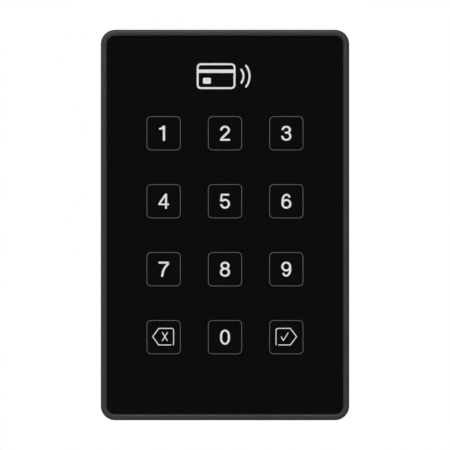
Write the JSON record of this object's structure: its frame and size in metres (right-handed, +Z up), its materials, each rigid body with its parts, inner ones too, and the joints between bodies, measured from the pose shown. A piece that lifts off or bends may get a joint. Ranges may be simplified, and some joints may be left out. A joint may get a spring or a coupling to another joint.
{
  "type": "keypad access reader",
  "caption": "Upright wall-mounted access reader with a flush glossy touch keypad in a rounded frame, tilting on hooks of its wall plate.",
  "frame": {"origin": "middle of the face that lies on the wall, where the centre lines of the two fixing patterns cross", "axes": "+Z up, +X right as seen from the front, +Y into the wall, so the keypad faces -Y"},
  "size_m": [0.0808, 0.0195, 0.127],
  "materials": {
    "bezel_plastic": "fine moulded grain, dark grey",
    "panel_gloss": "glossy black",
    "outline_ink": "mid grey print",
    "legend_ink": "light grey lettering",
    "tape_foam": "black foam tape",
    "diffuser_film": "milky film",
    "baffle_plastic": "white moulding",
    "board_laminate": "green solder mask",
    "copper": "bare copper",
    "led_resin": "pale resin",
    "inner_plastic": "black moulding",
    "ferrite": "dark ferrite",
    "chip_epoxy": "black epoxy",
    "can_steel": "drawn can",
    "can_aluminium": "drawn can",
    "chip_ceramic": "glazed chip",
    "plunger_plastic": "smooth acetal",
    "spring_steel": "drawn wire",
    "terminal_plastic": "green moulding",
    "plated_steel": "zinc plated",
    "stainless_steel": "stainless",
    "housing_plastic": "moulded grain",
    "seal_rubber": "smooth silicone",
    "plate_plastic": "moulded grain",
    "insert_brass": "machined",
    "gasket_foam": "closed-cell foam"
  },
  "bodies": {
    "wall_bracket": {"wall_plate": "plate_plastic", "wall_gasket": "gasket_foam", "lock_insert": "insert_brass"},
    "reader": {"bezel": "bezel_plastic", "fascia_panel": "panel_gloss", "key_outlines": "outline_ink", "card_symbol": "legend_ink", "fascia_adhesive": "tape_foam", "diffuser_film": "diffuser_film", "light_baffle": "baffle_plastic", "touch_board": "board_laminate", "touch_electrodes": "copper", "backlight_leds": "led_resin", "coil_former": "inner_plastic", "antenna_coil": "copper", "ferrite_sheet": "ferrite", "main_board": "board_laminate", "processor_chip": "chip_epoxy", "radio_chip": "chip_epoxy", "crystal": "can_steel", "capacitors": "can_aluminium", "inductor": "ferrite", "chip_resistors": "chip_ceramic", "buzzer": "inner_plastic", "board_socket": "inner_plastic", "board_header": "inner_plastic", "tamper_switch": "inner_plastic", "tamper_spring": "spring_steel", "terminal_block": "terminal_plastic", "terminal_clamps": "plated_steel", "terminal_screws": "plated_steel", "rear_housing": "housing_plastic", "pivot_pins": "stainless_steel", "housing_seal": "seal_rubber", "housing_screws": "stainless_steel", "board_screws": "plated_steel", "key_0_legend": "legend_ink", "key_1_legend": "legend_ink", "key_2_legend": "legend_ink", "key_3_legend": "legend_ink", "key_4_legend": "legend_ink", "key_5_legend": "legend_ink", "key_6_legend": "legend_ink", "key_7_legend": "legend_ink", "key_8_legend": "legend_ink", "key_9_legend": "legend_ink", "key_clear_legend": "legend_ink", "key_enter_legend": "legend_ink"},
    "lock_screw": {"lock_screw": "stainless_steel"},
    "tamper_plunger": {"tamper_plunger": "plunger_plastic"}
  },
  "joints": [
    {"name": "reader_tilt", "type": "hinge", "parent": "wall_bracket", "child": "reader", "pos_m": [0, -0.0024, 0.0586], "axis": [-1, 0, 0], "range_deg": [0, 18]},
    {"name": "lock_screw_travel", "type": "slide", "parent": "wall_bracket", "child": "lock_screw", "axis": [0, 0, -1], "range_m": [0, 0.0025]},
    {"name": "tamper_plunger_travel", "type": "slide", "parent": "reader", "child": "tamper_plunger", "axis": [0, 1, 0], "range_m": [0, 0.002], "stiffness_N_per_m": 150, "springref_m": 0.004, "deforming": ["tamper_spring"]}
  ]
}
